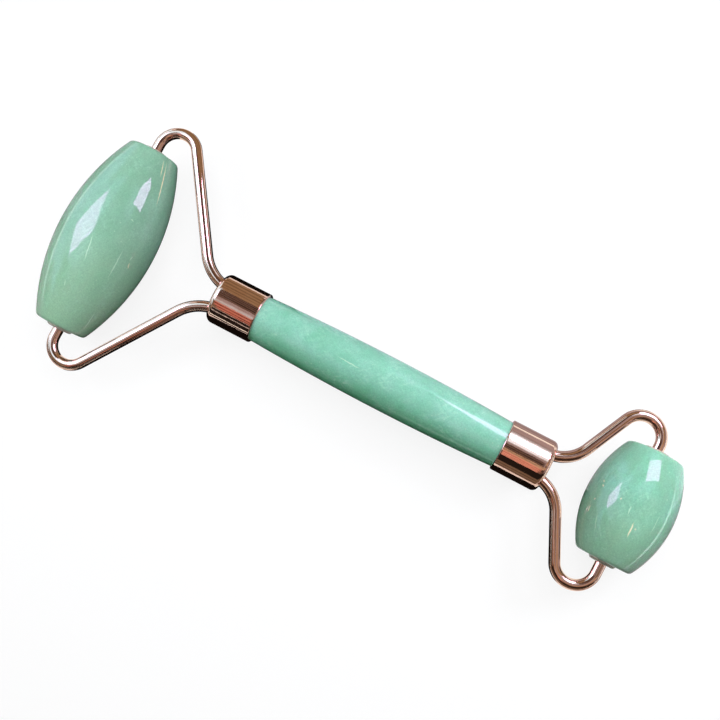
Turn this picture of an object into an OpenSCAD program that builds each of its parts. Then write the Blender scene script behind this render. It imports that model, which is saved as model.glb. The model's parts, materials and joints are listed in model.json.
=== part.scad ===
// Two-ended stone face roller, lying on a table on its two rollers.
// Lengths are in millimetres. X runs along the handle from the large roller (-X) to the
// small roller (+X), Y runs along the roller axles, and Z points up from the table.

/* [Handle] */
// Bare stone showing between the rims of the two caps
handle_length = 57.7; // [40:0.1:90]
// Diameter of the stone where it enters a cap
handle_end_d = 10.2; // [9:0.05:16]
// How much thicker the middle of the handle is than its ends
handle_swell = 1.35; // [0.4:0.05:4]
// How far the stone sits inside each cap
handle_seat = 3.75; // [2.5:0.05:9]
// Chamfer round the two hidden ends of the handle stone
handle_edge = 0.3; // [0.1:0.05:0.8]

/* [Caps] */
// Wall of the drawn metal caps
cap_wall = 0.5; // [0.3:0.05:1]
// Outer corner radius at the closed end of a cap
cap_corner = 1.3; // [1.1:0.1:2]
// Radial room for glue between the stone and the rim of a cap
seat_clearance = 0.07; // [0.03:0.01:0.2]
// Gap left where cured resin or glue meets another piece
bond_gap = 0.02; // [0.01:0.01:0.05]

/* [Wire frames] */
// Diameter of the wire that both frames are bent from
wire_d = 2.5; // [1.8:0.1:3]
// How much thinner bending leaves the wire in its bends
bend_thinning = 0.02; // [0.02:0.01:0.1]
// Bend radius, to the middle of the wire, beside the ends of a roller
bend_radius = 4.4; // [3:0.1:6]
// Straight wire inside a cap between the return bend and the bends of the arms
root_straight = 0.7; // [0.3:0.1:2]
// Resin between the return bend and the end of the handle stone
wire_cover = 0.4; // [0.3:0.1:2]
// Bare axle between the flange of a centred bush and the bend beside it
axle_gap = 1.65; // [1.2:0.05:4]

/* [Large end] */
// From the closed face of the large cap to the axle of the large roller
large_reach = 27.7; // [24:0.1:40]
// How deep inside the large cap its arms start to bend apart
large_neck_depth = 1.9; // [0.8:0.1:3]
// Bend radius, to the middle of the wire, where the arms leave the large cap
large_neck_radius = 10; // [6:0.5:13]
// Resin between the wire and the wall inside the large cap
large_wire_inset = 1.35; // [0.5:0.05:2]
// Length of the large roller stone
large_roller_length = 43.2; // [30:0.1:60]
// Diameter of the large roller stone at its middle
large_roller_d = 21.3; // [16:0.1:30]
// Diameter of the large roller stone at its ends
large_roller_end_d = 11.2; // [9:0.1:15]
// Where the large roller lies along its axles, from the middle of its frame
large_slide = 0; // [-0.7:0.1:0.7]

/* [Small end] */
// From the closed face of the small cap to the axle of the small roller
small_reach = 18.3; // [16:0.1:30]
// How deep inside the small cap its arms start to bend apart
small_neck_depth = 1.7; // [0.8:0.1:3]
// Bend radius, to the middle of the wire, where the arms leave the small cap
small_neck_radius = 8; // [5:0.5:10]
// Resin between the wire and the wall inside the small cap
small_wire_inset = 1.2; // [0.5:0.05:2]
// Length of the small roller stone
small_roller_length = 24.8; // [20:0.1:36]
// Diameter of the small roller stone at its middle
small_roller_d = 18.7; // [16:0.1:24]
// Diameter of the small roller stone at its ends
small_roller_end_d = 11.9; // [9:0.1:15]
// Where the small roller lies along its axles, from the middle of its frame
small_slide = 0.7; // [-0.7:0.1:0.7]

/* [Roller ends and bushes] */
// Chamfer round the flat ends of the roller stones
roller_edge = 0.7; // [0.2:0.1:1]
// Wall of the plastic sleeves that the axles turn in
bush_wall = 0.8; // [0.4:0.05:1.2]
// Depth of a sleeve inside the stone
bush_depth = 8; // [5:0.1:9]
// Closed inner end of a sleeve
bush_floor = 1; // [0.5:0.1:2]
// How far the flange of a bush stands out past its sleeve
flange_rim = 0.9; // [0.4:0.1:1.4]
// Thickness of the flange of a bush
flange_thickness = 0.6; // [0.4:0.1:1.2]
// How much smaller in radius the outer face of a flange is than its inner face
flange_slope = 0.4; // [0.1:0.1:0.8]
// Radial running clearance between an axle and its bush
running_clearance = 0.06; // [0.02:0.01:0.1]
// Least room between the tip of an axle and the closed end of its bush
end_float = 0.3; // [0.1:0.1:2]
// Drilled depth left behind the closed end of a bush
drill_runout = 0.3; // [0.1:0.1:1]

/* [Hidden] */
$fn = 144;

stone_green = [0.55, 0.76, 0.66];
handle_green = [0.52, 0.79, 0.67];
rose_gold = [0.78, 0.52, 0.40];
clear_plastic = [0.80, 0.81, 0.78];
cured_resin = [0.86, 0.82, 0.70];

// Overshoot that lets a cut break cleanly through a face
cut = 1;
// How far a straight stretch of wire runs on into a bend that it joins
splice = 0.05;
// Straight steps that follow the long arc of the handle's side
handle_steps = 24;

cap_inner_r = handle_end_d / 2 + seat_clearance;
cap_outer_r = cap_inner_r + cap_wall;

// Distance of each wire from the handle axis inside its cap
large_wire_y = cap_inner_r - large_wire_inset - wire_d / 2;
small_wire_y = cap_inner_r - small_wire_inset - wire_d / 2;

// From the closed face of a cap to the end of the handle stone inside it
function stone_depth(wire_y, neck_depth) =
    neck_depth + root_straight + wire_y + wire_d / 2 + wire_cover;
large_stone_depth = stone_depth(large_wire_y, large_neck_depth);
small_stone_depth = stone_depth(small_wire_y, small_neck_depth);

bush_bore_r = wire_d / 2 + running_clearance;
sleeve_r = bush_bore_r + bush_wall;
flange_r = sleeve_r + flange_rim;

// Positions along the handle, measured from the axle of the large roller
large_face_u = large_reach;
large_rim_u = large_face_u + large_stone_depth + handle_seat;
small_rim_u = large_rim_u + handle_length;
small_face_u = small_rim_u + handle_seat + small_stone_depth;
small_axle_u = small_face_u + small_reach;

// The handle leans a little so that both rollers touch the table
large_r = large_roller_d / 2;
small_r = small_roller_d / 2;
lean = asin((large_r - small_r) / small_axle_u);
overall_length = large_r + small_axle_u * cos(lean) + small_r;
large_axle_x = large_r - overall_length / 2;

// Radius of the arc through the middle and the ends of a swelling profile
function swell_radius(half_length, rise) = (half_length * half_length + rise * rise) / (2 * rise);

// Places children drawn along +X from the large axle onto the table
module lay() {
    translate([large_axle_x, 0, large_r])
        rotate([0, lean, 0])
            children();
}

// Turns a solid of revolution from the Z axis to the X axis
module along_x() {
    rotate([0, 90, 0])
        children();
}

// Places children drawn along +X outwards from the closed face of the large cap
module at_large_face() {
    lay()
        translate([large_face_u, 0, 0])
            rotate([0, 0, 180])
                children();
}

// Places children drawn along +X outwards from the closed face of the small cap
module at_small_face() {
    lay()
        translate([small_face_u, 0, 0])
            children();
}

// Places children drawn about the middle of the large roller
module at_large_axle() {
    lay()
        translate([0, large_slide, 0])
            children();
}

// Places children drawn about the middle of the small roller
module at_small_axle() {
    lay()
        translate([small_axle_u, small_slide, 0])
            children();
}

// Solid of revolution about Z with an arched side, cut to a length and chamfered at both ends
module barrel(length, mid_r, end_r, edge) {
    half = length / 2;
    flat_r = end_r - edge;
    arc_r = swell_radius(half, mid_r - end_r);
    rotate_extrude()
        intersection() {
            translate([mid_r - arc_r, 0])
                circle(r = arc_r);
            polygon([
                [0, -half],
                [flat_r, -half],
                [flat_r + mid_r, mid_r - half],
                [flat_r + mid_r, half - mid_r],
                [flat_r, half],
                [0, half]
            ]);
        }
}

// Half outline of a cup interior or exterior: closed at y = 0, with the corner at x = r rounded
module cup_outline(r, length, corner) {
    translate([0, corner])
        square([r, length - corner]);
    square([r - corner, length]);
    translate([r - corner, corner])
        circle(r = corner);
}

// Drawn cup with its closed face at the origin and its rim towards -X, pierced for two wires
module cap(depth, wire_y, neck_depth, neck_r) {
    length = depth + handle_seat;
    difference() {
        rotate([0, -90, 0])
            rotate_extrude()
                difference() {
                    cup_outline(cap_outer_r, length, cap_corner);
                    translate([0, cap_wall])
                        cup_outline(cap_inner_r, length, cap_corner - cap_wall);
                }
        wire_passage(wire_y, neck_depth, neck_r);
    }
}

// Cured resin between the closed end of a cap and the handle stone, cast round the wire
module filler(depth, wire_y, neck_depth, neck_r) {
    length = depth - cap_wall - 2 * bond_gap;
    difference() {
        translate([-cap_wall - bond_gap, 0, 0])
            rotate([0, -90, 0])
                rotate_extrude()
                    cup_outline(cap_inner_r - bond_gap, length, cap_corner - cap_wall);
        wire_passage(wire_y, neck_depth, neck_r);
    }
}

// Straight round bar between two points of the XY plane, run on at its joined ends
module bar(from, to, d, before = splice, after = splice) {
    run = to - from;
    translate([from.x, from.y, 0])
        rotate([0, 90, atan2(run.y, run.x)])
            translate([0, 0, -before])
                cylinder(h = before + norm(run) + after, d = d);
}

// Bent round bar in the XY plane, turning by sweep degrees from the start angle
module bend(centre, r, start, sweep, d) {
    translate([centre.x, centre.y, 0])
        rotate([0, 0, start])
            rotate_extrude(angle = sweep)
                translate([r, 0])
                    circle(d = d - bend_thinning);
}

// Wire from its return bend inside a cap to the end of the two bends that part its arms
module wire_stem(wire_y, neck_depth, neck_r, sweep, d) {
    root = -neck_depth - root_straight;
    bend([root, 0], wire_y, 90, 180, d);
    for (side = [0, 1])
        mirror([0, side, 0]) {
            bar([root, wire_y], [-neck_depth, wire_y], d);
            bend([-neck_depth, wire_y + neck_r], neck_r, -90, sweep, d);
        }
}

// Room for the wire through the resin and the closed face of a cap
module wire_passage(wire_y, neck_depth, neck_r) {
    sweep = asin((neck_depth + cut) / neck_r);
    wire_stem(wire_y, neck_depth, neck_r, sweep, wire_d + 2 * bond_gap);
}

// Forked frame bent from one wire, from inside a cap to both ends of a roller
module wire_frame(wire_y, neck_depth, neck_r, reach, roller_length, slide) {
    bend_y = roller_length / 2 + flange_thickness + axle_gap;
    tip_y = roller_length / 2 - bush_depth + bush_floor + end_float + abs(slide);
    neck = [-neck_depth, wire_y + neck_r];
    corner = [reach - bend_radius, bend_y];
    span = corner - neck;
    // Angle between an arm and the handle axis: the line that touches both bends
    arm_angle = atan2(span.y, span.x) + asin((neck_r + bend_radius) / norm(span));
    side_on = [sin(arm_angle), -cos(arm_angle)];
    wire_stem(wire_y, neck_depth, neck_r, arm_angle, wire_d);
    for (side = [0, 1])
        mirror([0, side, 0]) {
            bar(neck + neck_r * side_on, corner - bend_radius * side_on, wire_d);
            bend(corner, bend_radius, 0, 90 + arm_angle, wire_d);
            bar([reach, bend_y], [reach, tip_y], wire_d, after = 0);
        }
}

// Stone barrel about the Y axis, drilled from both ends for its bushes
module roller(length, d, end_d) {
    hole_depth = bush_depth + drill_runout;
    rotate([90, 0, 0])
        difference() {
            barrel(length, d / 2, end_d / 2, roller_edge);
            for (side = [0, 1])
                mirror([0, 0, side])
                    translate([0, 0, length / 2 - hole_depth])
                        cylinder(h = hole_depth + cut, r = sleeve_r + bond_gap);
        }
}

// Flanged blind sleeve in the +Y end of a roller, or in its -Y end when side is -1
module bush(length, side) {
    inner = bush_depth + flange_thickness;
    translate([0, side * (length / 2 + flange_thickness), 0])
        rotate([side * 90, 0, 0])
            rotate_extrude()
                polygon([
                    [bush_bore_r, 0],
                    [flange_r - flange_slope, 0],
                    [flange_r, flange_thickness],
                    [sleeve_r, flange_thickness],
                    [sleeve_r, inner],
                    [0, inner],
                    [0, inner - bush_floor],
                    [bush_bore_r, inner - bush_floor]
                ]);
}

// Radius of the handle stone at a distance z from its middle
function handle_r(z) =
    let (
        rise = handle_swell / 2,
        arc_r = swell_radius(handle_length / 2, rise)
    )
    handle_end_d / 2 + rise - arc_r + sqrt(arc_r * arc_r - z * z);

module handle() {
    half = handle_length / 2 + handle_seat;
    side_half = half - handle_edge;
    flat_r = handle_r(half) - handle_edge;
    side = [
        for (i = [0 : handle_steps])
            let (z = side_half * (2 * i / handle_steps - 1))
            [handle_r(z), z]
    ];
    color(handle_green)
        lay()
            translate([(large_rim_u + small_rim_u) / 2, 0, 0])
                along_x()
                    rotate_extrude()
                        polygon(concat([[0, -half], [flat_r, -half]], side, [[flat_r, half], [0, half]]));
}

module large_cap() {
    color(rose_gold)
        at_large_face()
            cap(large_stone_depth, large_wire_y, large_neck_depth, large_neck_radius);
}

module small_cap() {
    color(rose_gold)
        at_small_face()
            cap(small_stone_depth, small_wire_y, small_neck_depth, small_neck_radius);
}

module large_filler() {
    color(cured_resin)
        at_large_face()
            filler(large_stone_depth, large_wire_y, large_neck_depth, large_neck_radius);
}

module small_filler() {
    color(cured_resin)
        at_small_face()
            filler(small_stone_depth, small_wire_y, small_neck_depth, small_neck_radius);
}

module large_frame() {
    color(rose_gold)
        at_large_face()
            wire_frame(
                large_wire_y, large_neck_depth, large_neck_radius,
                large_reach, large_roller_length, large_slide
            );
}

module small_frame() {
    color(rose_gold)
        at_small_face()
            wire_frame(
                small_wire_y, small_neck_depth, small_neck_radius,
                small_reach, small_roller_length, small_slide
            );
}

module large_roller() {
    color(stone_green)
        at_large_axle()
            roller(large_roller_length, large_roller_d, large_roller_end_d);
}

module small_roller() {
    color(stone_green)
        at_small_axle()
            roller(small_roller_length, small_roller_d, small_roller_end_d);
}

module large_bush(side) {
    color(clear_plastic)
        at_large_axle()
            bush(large_roller_length, side);
}

module small_bush(side) {
    color(clear_plastic)
        at_small_axle()
            bush(small_roller_length, side);
}

handle();
large_cap();
small_cap();
large_filler();
small_filler();
large_frame();
small_frame();
large_roller();
large_bush(1);  // large_bush_a
large_bush(-1);  // large_bush_b
small_roller();
small_bush(1);  // small_bush_a
small_bush(-1);  // small_bush_b
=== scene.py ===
"""Looks of the two-ended stone face roller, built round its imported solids."""

import json
import math

import bmesh
import bpy
from mathutils import Matrix, Vector


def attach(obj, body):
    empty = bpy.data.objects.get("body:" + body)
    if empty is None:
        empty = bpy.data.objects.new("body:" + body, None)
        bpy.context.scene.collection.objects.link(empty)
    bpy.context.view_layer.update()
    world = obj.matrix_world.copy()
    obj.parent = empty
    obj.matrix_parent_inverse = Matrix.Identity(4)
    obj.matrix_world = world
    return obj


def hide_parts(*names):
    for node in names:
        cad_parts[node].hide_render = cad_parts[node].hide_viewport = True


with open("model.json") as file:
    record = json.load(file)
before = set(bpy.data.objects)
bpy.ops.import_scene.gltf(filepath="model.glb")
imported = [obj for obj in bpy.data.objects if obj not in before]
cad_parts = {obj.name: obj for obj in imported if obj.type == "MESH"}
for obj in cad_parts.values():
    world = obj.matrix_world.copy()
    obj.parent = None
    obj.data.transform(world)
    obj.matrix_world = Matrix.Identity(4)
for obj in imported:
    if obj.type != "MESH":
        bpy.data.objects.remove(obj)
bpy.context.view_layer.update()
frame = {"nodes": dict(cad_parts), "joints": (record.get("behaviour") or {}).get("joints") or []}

# Sizes in millimetres, the same as in the part's source
MM = 0.001
handle_length = 57.7
handle_end_d = 10.2
handle_swell = 1.35
handle_seat = 3.75
handle_edge = 0.3
cap_wall = 0.5
cap_corner = 1.3
seat_clearance = 0.07
bond_gap = 0.02
wire_d = 2.5
bend_radius = 4.4
root_straight = 0.7
wire_cover = 0.4
axle_gap = 1.65
roller_edge = 0.7
bush_wall = 0.8
bush_depth = 8.0
bush_floor = 1.0
flange_rim = 0.9
flange_thickness = 0.6
flange_slope = 0.4
running_clearance = 0.06
end_float = 0.3
drill_runout = 0.3
large = {
    "reach": 27.7,
    "neck_depth": 1.9,
    "neck_radius": 10.0,
    "wire_inset": 1.35,
    "roller_length": 43.2,
    "roller_d": 21.3,
    "roller_end_d": 11.2,
    "slide": 0.0,
}
small = {
    "reach": 18.3,
    "neck_depth": 1.7,
    "neck_radius": 8.0,
    "wire_inset": 1.2,
    "roller_length": 24.8,
    "roller_d": 18.7,
    "roller_end_d": 11.9,
    "slide": 0.7,
}

# Fine rounding that the finish gives to edges, and the gap drawn round a wire in its cap
rim_round = 0.25
flange_round = 0.15
hole_slack = 0.07

# How finely curves are drawn: counts of sides and steps, and angles in degrees
lathe_sides = 160
wire_sides = 40
round_steps = 8
side_steps = 56
bend_step = 4.0
sharp_angle = 50

cap_inner_r = handle_end_d / 2 + seat_clearance
cap_outer_r = cap_inner_r + cap_wall
bush_bore_r = wire_d / 2 + running_clearance
sleeve_r = bush_bore_r + bush_wall
flange_r = sleeve_r + flange_rim
for end in (large, small):
    end["wire_y"] = cap_inner_r - end["wire_inset"] - wire_d / 2
    end["stone_depth"] = end["neck_depth"] + root_straight + end["wire_y"] + wire_d / 2 + wire_cover
    end["cap_length"] = end["stone_depth"] + handle_seat

# Directions of the part as it lies on the table, from its two axles
joints = {joint["name"]: Vector(joint["pos_m"]) for joint in frame["joints"]}
large_axle = joints["large_roller_spin"]
small_axle = joints["small_roller_spin"]
along = (small_axle - large_axle).normalized()
across = Vector((0, 1, 0))
up = along.cross(across)
upright = Vector((0, 0, 1))
large_face = large_axle + along * large["reach"] * MM
small_face = small_axle - along * small["reach"] * MM
large_rim = large_face + along * large["cap_length"] * MM
small_rim = small_face - along * small["cap_length"] * MM


def axes(origin, x_axis, z_axis):
    """Matrix of a local frame with the given X and Z directions."""
    y_axis = z_axis.cross(x_axis)
    matrix = Matrix((x_axis, y_axis, z_axis)).transposed().to_4x4()
    matrix.translation = origin
    return matrix


def arc(centre, radius, start, sweep, steps):
    """Points on an arc in a plane, with its angles in degrees."""
    points = []
    for i in range(steps + 1):
        angle = math.radians(start + sweep * i / steps)
        points.append((centre[0] + radius * math.cos(angle), centre[1] + radius * math.sin(angle)))
    return points


def rounded(before, corner, after):
    """Points of a smooth turn from one point to another round a corner."""
    points = []
    for i in range(round_steps + 1):
        t = i / round_steps
        weights = ((1 - t) ** 2, 2 * t * (1 - t), t ** 2)
        points.append(
            tuple(sum(w * p[k] for w, p in zip(weights, (before, corner, after))) for k in (0, 1))
        )
    return points


def finish_mesh(build):
    """Turns a bmesh into a mesh with smooth faces and sharp creases."""
    bmesh.ops.recalc_face_normals(build, faces=build.faces)
    for face in build.faces:
        face.smooth = True
    mesh = bpy.data.meshes.new("surface")
    build.to_mesh(mesh)
    build.free()
    mesh.set_sharp_from_angle(angle=math.radians(sharp_angle))
    return mesh


def lathe(outline):
    """Solid of revolution about local Z from (radius, height) points that start and end on the axis."""
    build = bmesh.new()
    rings = []
    for radius, height in outline:
        count = lathe_sides if radius > 0 else 1
        ring = []
        for i in range(count):
            angle = 2 * math.pi * i / lathe_sides
            point = Vector((radius * math.cos(angle), radius * math.sin(angle), height))
            ring.append(build.verts.new(point * MM))
        rings.append(ring)
    for lower, upper in zip(rings, rings[1:]):
        for i in range(lathe_sides):
            j = (i + 1) % lathe_sides
            corners = [
                lower[i % len(lower)],
                lower[j % len(lower)],
                upper[j % len(upper)],
                upper[i % len(upper)],
            ]
            build.faces.new(list(dict.fromkeys(corners)))
    return finish_mesh(build)


def sweep(path, radius):
    """Round bar along (x, y, heading) points of the local XY plane, closed at both ends."""
    build = bmesh.new()
    rings = []
    for x, y, heading in path:
        turn = math.radians(heading + 90)
        ring = []
        for i in range(wire_sides):
            angle = 2 * math.pi * i / wire_sides
            side = radius * math.cos(angle)
            rise = radius * math.sin(angle)
            point = Vector((x + side * math.cos(turn), y + side * math.sin(turn), rise))
            ring.append(build.verts.new(point * MM))
        rings.append(ring)
    for first, second in zip(rings, rings[1:]):
        for i in range(wire_sides):
            j = (i + 1) % wire_sides
            build.faces.new((first[i], first[j], second[j], second[i]))
    build.faces.new(rings[0])
    build.faces.new(rings[-1])
    return finish_mesh(build)


def place(name, mesh, matrix, material, body, slot, node):
    """Sets a finished mesh where its CAD node is, and lets it ride on the node's body."""
    mesh.name = name
    mesh.materials.append(material)
    piece = bpy.data.objects.new(name, mesh)
    bpy.context.scene.collection.objects.link(piece)
    piece.matrix_world = matrix
    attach(piece, body)
    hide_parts(node)
    # The metal mirrors the stage, and not the stones
    piece.visible_glossy = not slot.endswith("stone")
    return piece


class Graph:
    """Short forms for building one node tree. Sockets are linked, and other values are set."""

    def __init__(self, tree):
        self.tree = tree
        tree.nodes.clear()

    def add(self, kind, inputs=None, **settings):
        node = self.tree.nodes.new(kind)
        for key, value in settings.items():
            setattr(node, key, value)
        for key, value in (inputs or {}).items():
            if isinstance(value, bpy.types.NodeSocket):
                self.tree.links.new(value, node.inputs[key])
            else:
                node.inputs[key].default_value = value
        return node

    def scaled(self, vector, factor):
        inputs = {0: vector, "Scale": factor}
        return self.add("ShaderNodeVectorMath", inputs, operation="SCALE").outputs[0]

    def stretched(self, vector, factors):
        inputs = {0: vector, 1: factors}
        return self.add("ShaderNodeVectorMath", inputs, operation="MULTIPLY").outputs[0]

    def turned(self, vector, angle, axis):
        inputs = {"Vector": vector, "Angle": math.radians(angle)}
        return self.add("ShaderNodeVectorRotate", inputs, rotation_type=axis).outputs[0]

    def millimetres(self):
        """Place on the piece, in millimetres of its own frame."""
        return self.scaled(self.add("ShaderNodeTexCoord").outputs["Object"], 1 / MM)

    def noise(self, vector, scale, detail=3.0, roughness=0.5, distortion=0.0):
        inputs = {
            "Vector": vector,
            "Scale": scale,
            "Detail": detail,
            "Roughness": roughness,
            "Distortion": distortion,
        }
        return self.add("ShaderNodeTexNoise", inputs).outputs["Fac"]

    def remap(self, value, span, to):
        """Takes a span of a value evenly to another range, and holds it at the ends."""
        inputs = {0: value, 1: span[0], 2: span[1], 3: to[0], 4: to[1]}
        return self.add("ShaderNodeMapRange", inputs, clamp=True).outputs[0]

    def combine(self, operation, first, second):
        return self.add("ShaderNodeMath", {0: first, 1: second}, operation=operation).outputs[0]

    def mix(self, factor, first, second):
        inputs = {0: factor, 6: first, 7: second}
        return self.add("ShaderNodeMix", inputs, data_type="RGBA").outputs[2]

    def ramp(self, value, stops):
        node = self.add("ShaderNodeValToRGB", {0: value})
        elements = node.color_ramp.elements
        while len(elements) < len(stops):
            elements.new(0.5)
        for element, (position, colour) in zip(elements, stops):
            element.position = position
            element.color = colour
        return node.outputs[0]

    def bump(self, height, strength, depth):
        """Normal of fine relief, with its depth in millimetres."""
        inputs = {"Height": height, "Strength": strength, "Distance": depth * MM}
        return self.add("ShaderNodeBump", inputs).outputs[0]

    def seen(self):
        """One for rays that look, straight or by mirror or glass, and nought for gathered light."""
        path = self.add("ShaderNodeLightPath").outputs
        looks = self.combine("MAXIMUM", path["Is Camera Ray"], path["Is Glossy Ray"])
        return self.combine("MAXIMUM", looks, path["Is Transmission Ray"])

    def output(self, shader):
        self.add("ShaderNodeOutputMaterial", {"Surface": shader.outputs[0]})

    def principled(self, inputs):
        self.output(self.add("ShaderNodeBsdfPrincipled", inputs))


def new_material(name):
    material = bpy.data.materials.new(name)
    material.use_nodes = True
    return material, Graph(material.node_tree)


def rgb(red, green, blue):
    return (red, green, blue, 1.0)


# Colours, as linear values
roller_deep = rgb(0.245, 0.48, 0.34)
roller_mid = rgb(0.265, 0.51, 0.368)
roller_pale = rgb(0.30, 0.55, 0.41)
mint_mid = rgb(0.235, 0.52, 0.375)
mint_pale = rgb(0.26, 0.585, 0.445)
handle_deep = rgb(0.222, 0.553, 0.392)
handle_mid = rgb(0.262, 0.595, 0.455)
handle_pale = rgb(0.315, 0.64, 0.52)
# Painted light: a yellower green laid on one end of the rollers, standing in for warmer light there
painted_warm_light = rgb(0.34, 0.585, 0.385)
# Painted shade: a darker, deeper green laid on the handle's side that the lights reach least
painted_shade_green = rgb(0.13, 0.60, 0.26)
pale_fibre = rgb(0.44, 0.77, 0.62)
pale_fleck = rgb(0.48, 0.74, 0.58)
cream = rgb(0.92, 0.85, 0.60)
frost = rgb(0.58, 0.82, 0.66)
rose_gold = rgb(0.85, 0.59, 0.48)
deep_copper = rgb(0.80, 0.52, 0.40)
worn_edge = rgb(0.92, 0.72, 0.62)
plastic_clear = rgb(0.90, 0.86, 0.72)
plastic_haze = rgb(0.82, 0.80, 0.66)
resin_pale = rgb(0.86, 0.82, 0.70)
resin_deep = rgb(0.72, 0.66, 0.52)

# Grain of the stone: where clouds change colour, how fibres slant in degrees and are drawn out
# along the axis, how scuffs are drawn out, and how far the edge of a streak wanders in millimetres
cloud_stops = (0.3, 0.5, 0.7)
fibre_slants = (28.65, -40.11)
fibre_stretch = (1.0, 1.0, 0.22)
scuff_stretch = (1.0, 1.0, 0.1)
streak_fray = 0.35
fray_middle = streak_fray / 2


def add_streaks(graph, colour, spot, radius, marks):
    """Lays streaks on a stone, each placed by angle round the axis and by height along it."""
    parts = graph.add("ShaderNodeSeparateXYZ", {0: spot}).outputs
    angle = graph.combine("ARCTAN2", parts["Y"], parts["X"])
    turn = graph.combine("MULTIPLY", angle, radius)
    unrolled = graph.add("ShaderNodeCombineXYZ", {"X": turn, "Y": parts["Z"]}).outputs[0]
    wander = graph.add("ShaderNodeTexNoise", {"Vector": spot, "Scale": 1.4}).outputs["Color"]
    inputs = {0: unrolled, 1: graph.scaled(wander, streak_fray)}
    frayed = graph.add("ShaderNodeVectorMath", inputs, operation="ADD").outputs[0]
    for degrees, height, lean, length, width, strength, tint in marks:
        middle = Vector((math.radians(degrees) * radius, height, 0.0))
        inputs = {
            "Vector": frayed,
            "Location": middle + Vector((fray_middle, fray_middle, fray_middle)),
            "Rotation": (0.0, 0.0, math.radians(lean)),
            "Scale": (width / 2, length / 2, 1.0),
        }
        inside = graph.add("ShaderNodeMapping", inputs, vector_type="TEXTURE").outputs[0]
        reach = graph.add("ShaderNodeVectorMath", {0: inside}, operation="LENGTH").outputs["Value"]
        amount = graph.remap(reach, span=(0.45, 1.0), to=(strength, 0.0))
        colour = graph.mix(amount, colour, tint)
    return colour


def stone(name, tones, fibre, cloud_scale, radius, half, painted_warmth, depth, marks):
    """Polished green stone: clouds, painted warmer light at one end, painted shade in a deeper green on
    one side, fibres, grain, flecks and streaks.
    """
    material, graph = new_material(name)
    spot = graph.millimetres()
    parts = graph.add("ShaderNodeSeparateXYZ", {0: spot}).outputs
    clouds = graph.noise(spot, cloud_scale, detail=4.0, roughness=0.6, distortion=0.6)
    colour = graph.ramp(clouds, list(zip(cloud_stops, tones)))
    # Painted warm light: towards local -Z, the end at world -Y, the colour turns a yellower green
    painted_warm_end = graph.remap(parts["Z"], span=(-0.8 * half, 0.2 * half), to=(painted_warmth, 0.0))
    colour = graph.mix(painted_warm_end, colour, painted_warm_light)
    # Painted shade: towards local +Y, the near side at world -Y, the colour turns a darker, deeper
    # green
    painted_shade_side = graph.remap(parts["Y"], span=(0.3 * radius, 1.1 * radius), to=(0.0, depth))
    colour = graph.mix(painted_shade_side, colour, painted_shade_green)
    # Fibres lie in two slanting directions and show only inside patches
    patches = graph.remap(graph.noise(spot, 0.16, detail=2.0), span=(0.42, 0.62), to=(0.0, 1.0))
    for slant in fibre_slants:
        drawn = graph.stretched(graph.turned(spot, slant, "X_AXIS"), fibre_stretch)
        strands = graph.noise(drawn, 1.5, roughness=0.65, distortion=0.5)
        shown = graph.remap(strands, span=(0.5, 0.74), to=(0.0, fibre))
        colour = graph.mix(graph.combine("MULTIPLY", shown, patches), colour, pale_fibre)
    grain = graph.noise(spot, 3.2, detail=2.0, roughness=0.7)
    colour = graph.scaled(colour, graph.remap(grain, span=(0.3, 0.7), to=(0.89, 1.11)))
    # Flecks are the middles of a few chosen cells
    cells = graph.add("ShaderNodeTexVoronoi", {"Vector": spot, "Scale": 1.1}).outputs
    chosen = graph.remap(cells["Color"], span=(0.62, 0.8), to=(0.0, 1.0))
    dots = graph.remap(cells["Distance"], span=(0.1, 0.24), to=(0.42, 0.0))
    colour = graph.mix(graph.combine("MULTIPLY", dots, chosen), colour, pale_fleck)
    scuffs = graph.noise(graph.stretched(spot, scuff_stretch), 4.0, roughness=0.7)
    inputs = {
        "Base Color": add_streaks(graph, colour, spot, radius, marks),
        "Roughness": graph.remap(scuffs, span=(0.5, 0.8), to=(0.005, 0.06)),
        "IOR": 1.54,
        "Subsurface Weight": 0.35,
        "Subsurface Radius": (0.35, 1.0, 0.6),
        "Subsurface Scale": 2 * MM,
        "Normal": graph.bump(grain, strength=0.005, depth=0.04),
    }
    graph.principled(inputs)
    return material


def plated_metal(name, draw_stretch):
    """Bright rose gold plating with faint draw lines, cloudy tone and a little wear on its edges."""
    material, graph = new_material(name)
    spot = graph.millimetres()
    tone = graph.noise(spot, 0.35, roughness=0.6)
    colour = graph.mix(graph.remap(tone, span=(0.35, 0.65), to=(0.0, 1.0)), rose_gold, deep_copper)
    edge = graph.add("ShaderNodeNewGeometry").outputs["Pointiness"]
    colour = graph.mix(graph.remap(edge, span=(0.52, 0.6), to=(0.0, 0.5)), colour, worn_edge)
    lines = graph.noise(graph.stretched(spot, draw_stretch), 3.0, detail=4.0, roughness=0.65)
    specks = graph.noise(spot, 5.0, detail=2.0, roughness=0.8)
    drawn = graph.remap(lines, span=(0.4, 0.75), to=(0.04, 0.11))
    dulled = graph.remap(specks, span=(0.62, 0.8), to=(0.0, 0.12))
    inputs = {
        "Base Color": colour,
        "Metallic": 1.0,
        "Roughness": graph.combine("ADD", drawn, dulled),
        "Normal": graph.bump(lines, strength=0.22, depth=0.03),
    }
    graph.principled(inputs)
    return material


def clear_plastic(name):
    """Clear moulded plastic with a faint haze."""
    material, graph = new_material(name)
    haze = graph.noise(graph.millimetres(), 1.2, roughness=0.6)
    inputs = {
        "Base Color": graph.mix(haze, plastic_clear, plastic_haze),
        "Roughness": graph.remap(haze, span=(0.3, 0.7), to=(0.04, 0.14)),
        "IOR": 1.49,
        "Transmission Weight": 0.5,
        "Normal": graph.bump(haze, strength=0.1, depth=0.05),
    }
    graph.principled(inputs)
    return material


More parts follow.
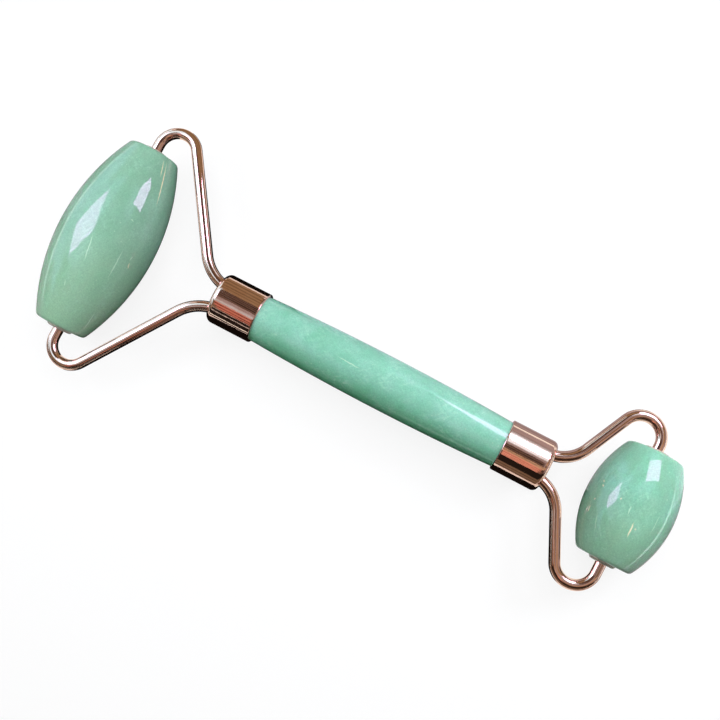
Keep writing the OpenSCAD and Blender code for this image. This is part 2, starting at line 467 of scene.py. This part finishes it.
def cured_resin(name):
    """Cast resin with cloudy tone and tiny bubbles."""
    material, graph = new_material(name)
    spot = graph.millimetres()
    bubbles = graph.add("ShaderNodeTexVoronoi", {"Vector": spot, "Scale": 2.0}).outputs["Distance"]
    inputs = {
        "Base Color": graph.mix(graph.noise(spot, 0.6), resin_pale, resin_deep),
        "Roughness": graph.remap(bubbles, span=(0.1, 0.5), to=(0.35, 0.18)),
        "Subsurface Weight": 0.3,
        "Subsurface Radius": (1.0, 0.8, 0.5),
        "Subsurface Scale": 1 * MM,
    }
    graph.principled(inputs)
    return material


# Streaks: angle round the axis, height, lean, length, width, strength and tint
large_marks = [
    (7.9, -3.8, 8.8, 6.4, 0.36, 0.85, frost),
    (43.6, -4.2, 2.4, 7.5, 0.32, 0.65, frost),
    (59.1, -3.2, 20.0, 1.5, 0.35, 0.7, cream),
    (57.0, -1.6, -10.0, 1.2, 0.3, 0.6, frost),
    (0.5, -12.7, 9.8, 1.3, 0.35, 0.75, frost),
    (36.2, 5.5, 75.0, 0.9, 0.35, 0.6, frost),
    (54.9, 15.7, 5.8, 10.4, 0.5, 0.95, cream),
    (46.4, 18.6, 10.5, 4.2, 0.45, 0.85, cream),
    (62.5, -17.5, 17.7, 5.4, 0.42, 0.85, frost),
]
small_marks = [
    (3.7, -4.4, 5.2, 3.7, 0.42, 0.95, cream),
    (8.8, -3.9, 60.0, 0.5, 0.5, 0.6, cream),
    (-8.3, -1.1, 4.9, 2.3, 0.3, 0.75, frost),
    (-59.5, -4.3, -8.0, 1.6, 0.4, 0.9, cream),
    (-55.5, 2.0, 40.0, 0.8, 0.4, 0.7, cream),
    (-53.0, 1.1, 60.0, 0.7, 0.4, 0.7, cream),
    (-23.5, 0.2, 30.0, 0.5, 0.5, 0.8, cream),
    (-56.0, -2.0, 0.0, 0.5, 0.5, 0.7, cream),
    (-41.2, -6.2, 11.9, 4.4, 0.35, 0.5, frost),
    (29.1, -1.3, 1.1, 5.3, 0.3, 0.45, frost),
]
handle_marks = [
    (-0.9, -6.9, -2.3, 5.6, 0.26, 0.9, frost),
]

# Both rollers get a yellower end at world -Y, painted in as warm light
large_stone = stone(
    "large_roller_stone",
    tones=(roller_deep, roller_mid, roller_pale),
    fibre=0.3,
    cloud_scale=0.11,
    radius=large["roller_d"] / 2,
    half=large["roller_length"] / 2,
    painted_warmth=0.8,
    depth=0.0,
    marks=large_marks,
)
small_stone = stone(
    "small_roller_stone",
    tones=(roller_deep, mint_mid, mint_pale),
    fibre=0.4,
    cloud_scale=0.13,
    radius=small["roller_d"] / 2,
    half=small["roller_length"] / 2,
    painted_warmth=0.6,
    depth=0.0,
    marks=small_marks,
)
handle_stone = stone(
    "handle_stone",
    tones=(handle_deep, handle_mid, handle_pale),
    fibre=0.6,
    cloud_scale=0.15,
    radius=handle_end_d / 2,
    half=handle_length / 2,
    painted_warmth=0.0,
    # painted shade in a deeper green on the handle's near side, away from the lights
    depth=0.65,
    marks=handle_marks,
)
cap_metal = plated_metal("cap_plating", draw_stretch=(1.0, 1.0, 0.06))
wire_metal = plated_metal("wire_plating", draw_stretch=(1.0, 1.0, 1.0))
bush_plastic = clear_plastic("bush_plastic")
filler_resin = cured_resin("filler_resin")


def arched_side(middle_r, end_r, half):
    """Radius at a height of a side that is an arc from the end radius through the middle one."""
    swell = middle_r - end_r
    arc_r = (half ** 2 + swell ** 2) / (2 * swell)

    def side_r(height):
        return middle_r - arc_r + math.sqrt(arc_r ** 2 - height ** 2)

    return side_r


def mirrored(top):
    """Whole outline from its upper half, which ends at height zero."""
    return top + [(radius, -height) for radius, height in reversed(top[:-1])]


def barrel_side(side_r, side_top):
    """Points of an arched side from its top down to height zero, without the top one."""
    heights = [side_top * (1 - 2 * i / side_steps) for i in range(1, side_steps // 2 + 1)]
    return [(side_r(height), height) for height in heights]


def handle_outline():
    """Slim rod with arched sides and rounded ends, which reaches into both caps."""
    half = handle_length / 2 + handle_seat
    end_r = handle_end_d / 2
    side_r = arched_side(end_r + handle_swell / 2, end_r, handle_length / 2)
    tip_r = side_r(half)
    top = [(0.0, half)]
    top += rounded((tip_r - handle_edge, half), (tip_r, half), (tip_r, half - handle_edge))
    return mirrored(top + barrel_side(side_r, half - handle_edge))


place(
    "handle_stone_rod",
    lathe(handle_outline()),
    axes((large_rim + small_rim) / 2, up, along),
    handle_stone,
    "handle_and_frames",
    "handle_stone",
    "handle",
)


def cap_outline(end):
    """Cup that is closed at height zero, with rounded corners and a rounded rim."""
    length = end["cap_length"]
    points = [(0.0, 0.0)]
    points.append((cap_outer_r - 2 * cap_corner, 0.0))
    points += arc((cap_outer_r - cap_corner, cap_corner), cap_corner, -90, 90, 2 * round_steps)
    points.append((cap_outer_r, 2 * cap_corner))
    points.append((cap_outer_r, length - 2 * rim_round))
    points += arc((cap_outer_r - rim_round, length - rim_round), rim_round, 0, 90, round_steps)
    points += arc((cap_inner_r + rim_round, length - rim_round), rim_round, 90, 90, round_steps)
    points.append((cap_inner_r, cap_corner))
    points.append((cap_inner_r - cap_corner + cap_wall, cap_wall))
    points.append((0.0, cap_wall))
    return points


def wire_path(end):
    """Centre line of a frame as (x, y, heading), from one axle tip through the cap to the other."""
    roller_half = end["roller_length"] / 2
    bend_y = roller_half + flange_thickness + axle_gap
    tip_y = roller_half - bush_depth + bush_floor + end_float + abs(end["slide"])
    neck = Vector((-end["neck_depth"], end["wire_y"] + end["neck_radius"]))
    corner = Vector((end["reach"] - bend_radius, bend_y))
    span = corner - neck
    lean = math.atan2(span.y, span.x) + math.asin((end["neck_radius"] + bend_radius) / span.length)
    arm_angle = math.degrees(lean)
    root = -end["neck_depth"] - root_straight
    half = [(end["reach"], tip_y, 90.0)]
    turns = [
        (corner, bend_radius, 0.0, 90.0 + arm_angle, 90.0),
        (neck, end["neck_radius"], arm_angle - 90.0, -arm_angle, -90.0),
    ]
    for centre, radius, start, angle, ahead in turns:
        steps = math.ceil(abs(angle) / bend_step)
        for i, (x, y) in enumerate(arc(centre, radius, start, angle, steps)):
            half.append((x, y, start + angle * i / steps + ahead))
    back = arc((root, 0.0), end["wire_y"], 90.0, 180.0, math.ceil(180 / bend_step))
    middle = []
    for i, (x, y) in enumerate(back):
        middle.append((x, y, 180.0 + 180.0 * i / (len(back) - 1)))
    other = [(x, -y, 180.0 - heading) for x, y, heading in reversed(half)]
    return half + middle + other


# A cap is turned about its own Z, and its wire lies in the plane of its Z and Y
hole_turn = Matrix(((0, 0, 1), (0, 1, 0), (-1, 0, 0))).to_4x4()


def cut_holes(piece, path, radius):
    """Cuts the wire's passage out of a cap."""
    cutter = bpy.data.objects.new("cutter", sweep(path, radius))
    bpy.context.scene.collection.objects.link(cutter)
    cutter.matrix_world = piece.matrix_world @ hole_turn
    cut = piece.modifiers.new("holes", "BOOLEAN")
    cut.object = cutter
    cut.solver = "EXACT"
    bpy.context.view_layer.update()
    cut_piece = piece.evaluated_get(bpy.context.evaluated_depsgraph_get())
    mesh = bpy.data.meshes.new_from_object(cut_piece)
    piece.modifiers.remove(cut)
    piece.data = mesh
    mesh.set_sharp_from_angle(angle=math.radians(sharp_angle))
    bpy.data.objects.remove(cutter)


for label, end, face, outward in (
    ("large", large, large_face, -along),
    ("small", small, small_face, along),
):
    path = wire_path(end)
    cap = place(
        label + "_cap_shell",
        lathe(cap_outline(end)),
        axes(face, up, -outward),
        cap_metal,
        "handle_and_frames",
        "plated_metal",
        label + "_cap",
    )
    cut_holes(cap, path, wire_d / 2 + hole_slack)
    place(
        label + "_frame_wire",
        sweep(path, wire_d / 2),
        axes(face, outward, up),
        wire_metal,
        "handle_and_frames",
        "plated_metal",
        label + "_frame",
    )


def roller_outline(end):
    """Barrel with arched sides, rounded ends and a blind hole in each end."""
    half = end["roller_length"] / 2
    end_r = end["roller_end_d"] / 2
    side_r = arched_side(end["roller_d"] / 2, end_r, half)
    hole_r = sleeve_r + bond_gap
    floor = half - bush_depth - drill_runout
    side_top = half - roller_edge
    top = [(0.0, floor), (hole_r, floor), (hole_r, half)]
    top += rounded((end_r - roller_edge, half), (end_r, half), (side_r(side_top), side_top))
    return mirrored(top + barrel_side(side_r, side_top))


def bush_outline(end):
    """Flanged blind sleeve, with the flange at the greater height."""
    face = end["roller_length"] / 2
    outer = face + flange_thickness
    floor = face - bush_depth
    points = [(0.0, floor), (sleeve_r, floor), (sleeve_r, face)]
    points.append((flange_r, face))
    points += rounded(
        (flange_r - flange_slope / 2, outer - flange_thickness / 2),
        (flange_r - flange_slope, outer),
        (flange_r - 2 * flange_slope, outer),
    )
    points += rounded(
        (bush_bore_r + flange_round, outer), (bush_bore_r, outer), (bush_bore_r, outer - flange_round)
    )
    points += [(bush_bore_r, floor + bush_floor), (0.0, floor + bush_floor)]
    return points


for label, end, axle, material in (
    ("large", large, large_axle, large_stone),
    ("small", small, small_axle, small_stone),
):
    middle = axle + across * end["slide"] * MM
    body = label + "_roller"
    place(
        label + "_roller_barrel",
        lathe(roller_outline(end)),
        axes(middle, upright, across),
        material,
        body,
        "roller_stone",
        body,
    )
    for letter, side in (("a", 1), ("b", -1)):
        name = label + "_bush_" + letter
        place(
            name + "_sleeve",
            lathe(bush_outline(end)),
            axes(middle, upright, across * side),
            bush_plastic,
            body,
            "clear_plastic",
            name,
        )

for name in ("large_filler", "small_filler"):
    frame["nodes"][name].data.materials.clear()
    frame["nodes"][name].data.materials.append(filler_resin)


def stage_card(name, corners, material):
    """Flat face of the stage through corner points in millimetres."""
    mesh = bpy.data.meshes.new(name)
    mesh.from_pydata([Vector(corner) * MM for corner in corners], [], [list(range(len(corners)))])
    mesh.materials.append(material)
    card = bpy.data.objects.new(name, mesh)
    bpy.context.scene.collection.objects.link(card)
    return card


def mirror_card(name, corners, material):
    """Stage card that shows only in reflections."""
    card = stage_card(name, corners, material)
    card.visible_camera = False
    card.visible_shadow = False
    card.visible_diffuse = False
    card.visible_transmission = False


def level_card(name, left, right, near, far, height, material):
    """Card that lies flat at a height."""
    corners = [(left, near, height), (right, near, height), (right, far, height), (left, far, height)]
    mirror_card(name, corners, material)


def upright_card(name, start, end, low, high, material):
    """Card that stands on a line between two floor points."""
    corners = [(*start, low), (*end, low), (*end, high), (*start, high)]
    mirror_card(name, corners, material)


# Scale at which a wave texture repeats once in a millimetre
unit_wave = math.pi / 10


def glow(name, colour, period, stripe_floor, bands="X", wobble=1.5, turn=0.0, strength=1.0):
    """Even emission crossed by soft stripes, as of blinds or shelves, a period in millimetres apart."""
    material, graph = new_material(name)
    inputs = {
        "Vector": graph.turned(graph.millimetres(), turn, "Z_AXIS"),
        "Scale": unit_wave / period,
        "Distortion": wobble,
        "Detail": 2.0,
        "Detail Scale": 2.0,
    }
    waves = graph.add("ShaderNodeTexWave", inputs, bands_direction=bands).outputs["Fac"]
    level = graph.remap(waves, span=(0.0, 0.5), to=(strength * stripe_floor, strength))
    graph.output(graph.add("ShaderNodeEmission", {"Color": colour, "Strength": level}))
    return material


# Two bright windows, which only mirror, with the turn of their blinds in degrees
blind_turn = -18.0
side_light = glow(
    "side_light", rgb(0.82, 0.60, 1.0), 15.0, 0.25, "Y", wobble=0.0, turn=blind_turn, strength=11.4
)
far_light = glow(
    "far_light", rgb(0.90, 0.60, 1.0), 10.0, 0.5, "Y", wobble=0.0, turn=blind_turn, strength=12.2
)
side_height = 190
side_window = [(-192, 105), (-150, 58), (-108, 10), (-124, -8), (-220, -62), (-392, 12), (-300, 46)]
mirror_card("side_window", [(x, y, side_height) for x, y in side_window], side_light)
far_window = [(58, 105, 184), (143, 100, 129), (107, 154, 101), (21, 177, 139)]
mirror_card("far_window", far_window, far_light)

# Soft lamps, which light and don't mirror
lamp_tint = (0.97, 0.99, 1.05)


def soft_lamp(name, spot, target, size, watts, spread):
    """Square lamp at a spot in millimetres, turned to a target and left out of mirror images."""
    data = bpy.data.lights.new(name, "AREA")
    data.size = size * MM
    data.energy = watts
    data.spread = math.radians(spread)
    data.color = lamp_tint
    lamp = bpy.data.objects.new(name, data)
    lamp.location = Vector(spot) * MM
    lamp.rotation_euler = (Vector(target) - Vector(spot)).to_track_quat("-Z", "Y").to_euler()
    lamp.visible_glossy = False
    bpy.context.scene.collection.objects.link(lamp)


soft_lamp("overhead_lamp", (-20, 165, 430), (-20, 0, 10), size=350, watts=1.42, spread=180)
soft_lamp("side_lamp", (-200, -32, 190), (-62, -10, 15), size=120, watts=0.049, spread=70)
soft_lamp("far_lamp", (135, 125, 128), (63, 0, 15), size=83, watts=0.102, spread=110)

# Colours of the room that the part mirrors: tint, period of the stripes and their floor
black_card = glow("black_card", rgb(0.02, 0.015, 0.012), 90.0, 0.3, "Z")
brown_card = glow("brown_card", rgb(0.34, 0.24, 0.14), 14.0, 0.5, "Z")
umber_card = glow("umber_card", rgb(0.22, 0.16, 0.11), 12.0, 0.4, "Z")
dusk_card = glow("dusk_card", rgb(0.16, 0.11, 0.09), 40.0, 0.15, "Y")
red_card = glow("red_card", rgb(0.66, 0.26, 0.20), 72.0, 0.1, "Y")
salmon_card = glow("salmon_card", rgb(0.90, 0.43, 0.33), 38.0, 0.45, "Y")
tan_card = glow("tan_card", rgb(0.62, 0.45, 0.31), 30.0, 0.5, "Y")
mauve_card = glow("mauve_card", rgb(0.44, 0.38, 0.40), 18.0, 0.7, "Y")
pale_card = glow("pale_card", rgb(0.66, 0.72, 0.80), 30.0, 0.7, "Y")
bright_card = glow("bright_card", rgb(1.0, 1.50, 1.88), 60.0, 0.9)
white_card = glow("white_card", rgb(1.16, 1.43, 1.74), 40.0, 0.85)
paper_card = glow("paper_card", rgb(1.12, 1.20, 1.18), 60.0, 0.9)
line_card = glow("line_card", rgb(3.2, 3.7, 3.6), 40.0, 0.9)
thread_card = glow("thread_card", rgb(1.35, 1.45, 1.40), 40.0, 0.9)

# The room in millimetres: half its width, ceiling, table, far wall and the two near walls
room = 400
ceiling = 260
table = 0.1
back = 303
near_left = -85
near_right = -56

# Cards overhead and on the floor: left, right, near and far edges
ceiling_cards = (
    ("bright_ceiling", -room, -125, -100, 200, bright_card),
    ("umber_ceiling_left", -room, -125, -330, -100, umber_card),
    ("brown_ceiling_left", -room, -125, 200, room, brown_card),
    ("red_ceiling", -125, -70, -330, -105, red_card),
    ("dusk_ceiling_near", -70, 45, -room, -105, dusk_card),
    ("pale_ceiling_near", -125, -38, -105, -50, pale_card),
    ("umber_ceiling_mid", -38, 10, -105, -50, umber_card),
    ("mauve_ceiling_left", -125, 10, -50, 0, mauve_card),
    ("dusk_ceiling_left", -125, 10, 0, 170, dusk_card),
    ("brown_ceiling", -125, 10, 170, room, brown_card),
    ("dusk_ceiling_mid", 10, 30, 0, back, dusk_card),
    ("salmon_ceiling", 45, 85, -215, -88, salmon_card),
    ("dusk_ceiling_low", 45, room, -room, -215, dusk_card),
    ("dusk_ceiling_side", 85, room, -215, -88, dusk_card),
    ("tan_ceiling_near", 10, room, -88, -40, tan_card),
    ("dusk_ceiling_right", 10, 85, -40, 48, dusk_card),
    ("mauve_ceiling_side", 85, 150, -40, 48, mauve_card),
    ("umber_ceiling_right", 150, room, -40, 15, umber_card),
    ("tan_ceiling_far", 150, room, 15, 80, tan_card),
    ("mauve_ceiling_right", 30, 150, 48, 80, mauve_card),
    ("pale_ceiling_far", 30, 180, 80, 100, pale_card),
    ("white_ceiling", 30, 180, 100, back, white_card),
    ("brown_ceiling_right", 180, room, 80, back, brown_card),
)
table_cards = (
    ("near_mat_left", -48, 8, -80, 0, black_card),
    ("near_mat_right", 8, 55, -45, 0, black_card),
    ("far_mat_left", -48, -20, 0, 33, black_card),
    ("far_mat_mid", -20, 25, 0, 54, pale_card),
    ("far_mat_right", 25, 60, 0, 41, mauve_card),
    ("far_mat_line", 30, 60, 41, 62, thread_card),
    ("far_mat_back", -48, 30, 54, 95, mauve_card),
    ("large_roller_shade", -60, -48, -42, 42, black_card),
    ("large_roller_mat", -73, -60, -42, 42, paper_card),
    ("left_mat_inner", -185, -73, -120, 120, mauve_card),
    ("left_mat_line", -285, -185, -200, 200, line_card),
    ("left_mat_outer", -room, -285, -300, 300, mauve_card),
    ("small_roller_mat", 55, 72, -30, 30, paper_card),
    ("right_mat_inner", 72, 150, -60, 12, mauve_card),
    ("right_mat_far", 72, 150, 12, 80, paper_card),
    ("right_mat_line", 150, 300, -100, 150, line_card),
    ("right_mat_outer", 300, room, -300, 300, mauve_card),
)
for height, cards in ((ceiling, ceiling_cards), (table, table_cards)):
    for name, left, right, near, far, material in cards:
        level_card(name, left, right, near, far, height, material)

# Standing cards: the floor points of both ends, and the low and high edges
for name, start, end, low, high, material in (
    ("left_wall", (-room, -320), (-room, 320), table, ceiling, bright_card),
    ("right_wall", (room, -300), (room, back), table, ceiling, mauve_card),
    ("white_wall", (-15, back), (180, back), 160, ceiling, white_card),
    ("pale_wall", (-15, back), (180, back), 110, 160, pale_card),
    ("mauve_wall", (-15, back), (room, back), table, 110, mauve_card),
    ("brown_wall", (180, back), (room, back), 110, ceiling, brown_card),
    ("umber_wall", (-room, room), (-15, room), table, ceiling, umber_card),
    ("far_wall_left", (-70, 45), (-33, 45), 2, 60, brown_card),
    ("far_wall_mid", (-33, 68), (-5, 68), 2, 27, umber_card),
    ("far_wall_right", (-5, 68), (room, 68), 2, 27, mauve_card),
    ("near_wall_left_low", (-room, near_left), (10, near_left), 2, 12, black_card),
    ("near_wall_left_line", (-room, near_left), (10, near_left), 12, 17, thread_card),
    ("near_wall_left_mid", (-room, near_left), (10, near_left), 17, 48, black_card),
    ("near_wall_left_top", (-68, near_left), (10, near_left), 51, 75, black_card),
    ("near_wall_left_end", (-room, near_left), (-68, near_left), 51, 75, brown_card),
    ("near_wall_step", (10, near_left), (10, near_right), 2, 75, dusk_card),
    ("near_wall_right_low", (10, near_right), (room, near_right), 6, 34, umber_card),
    ("near_wall_right_top", (10, near_right), (room, near_right), 34, 76, black_card),
):
    upright_card(name, start, end, low, high, material)

# Floor of white paper, just under the part, which takes a faint shadow
floor_half = 4000
floor_drop = 0.03
floor_glow = 0.86
floor_paper = rgb(0.15, 0.15, 0.15)
floor_corners = [
    (-floor_half, -floor_half, -floor_drop),
    (floor_half, -floor_half, -floor_drop),
    (floor_half, floor_half, -floor_drop),
    (-floor_half, floor_half, -floor_drop),
]
floor_material, graph = new_material("floor_white")
glow_level = graph.combine("MULTIPLY", graph.seen(), floor_glow)
shine = graph.add("ShaderNodeEmission", {"Color": rgb(1, 1, 1), "Strength": glow_level}).outputs[0]
paper = graph.add("ShaderNodeBsdfDiffuse", {"Color": floor_paper}).outputs[0]
graph.output(graph.add("ShaderNodeAddShader", {0: paper, 1: shine}))
stage_card("floor", floor_corners, floor_material)

# Pale room: a dim fill for the part, and white where rays look at it
room_fill = rgb(0.09, 0.088, 0.07)
room_white = rgb(0.87, 0.87, 0.87)
world = bpy.data.worlds.new("pale_room")
world.use_nodes = True
bpy.context.scene.world = world
graph = Graph(world.node_tree)
fill = graph.add("ShaderNodeBackground", {"Color": room_fill}).outputs[0]
white = graph.add("ShaderNodeBackground", {"Color": room_white}).outputs[0]
backdrop = graph.add("ShaderNodeMixShader", {0: graph.seen(), 1: fill, 2: white}).outputs[0]
graph.add("ShaderNodeOutputWorld", {"Surface": backdrop})

# Camera at the photograph's place, with its frame turned as the photograph's
camera_place = Vector((23.74, -10.92, 220.79)) * MM
camera_right = Vector((0.88224, 0.46522, -0.07234))
camera_back = Vector((0.11335, -0.06075, 0.99170))
camera_data = bpy.data.cameras.new("camera")
camera_data.sensor_width = 36.0
camera_data.lens = 50.05
camera_data.clip_start = 0.01
camera = bpy.data.objects.new("camera", camera_data)
bpy.context.scene.collection.objects.link(camera)
camera.matrix_world = axes(camera_place, camera_right, camera_back)
bpy.context.scene.camera = camera
bpy.context.scene.view_settings.view_transform = "Standard"
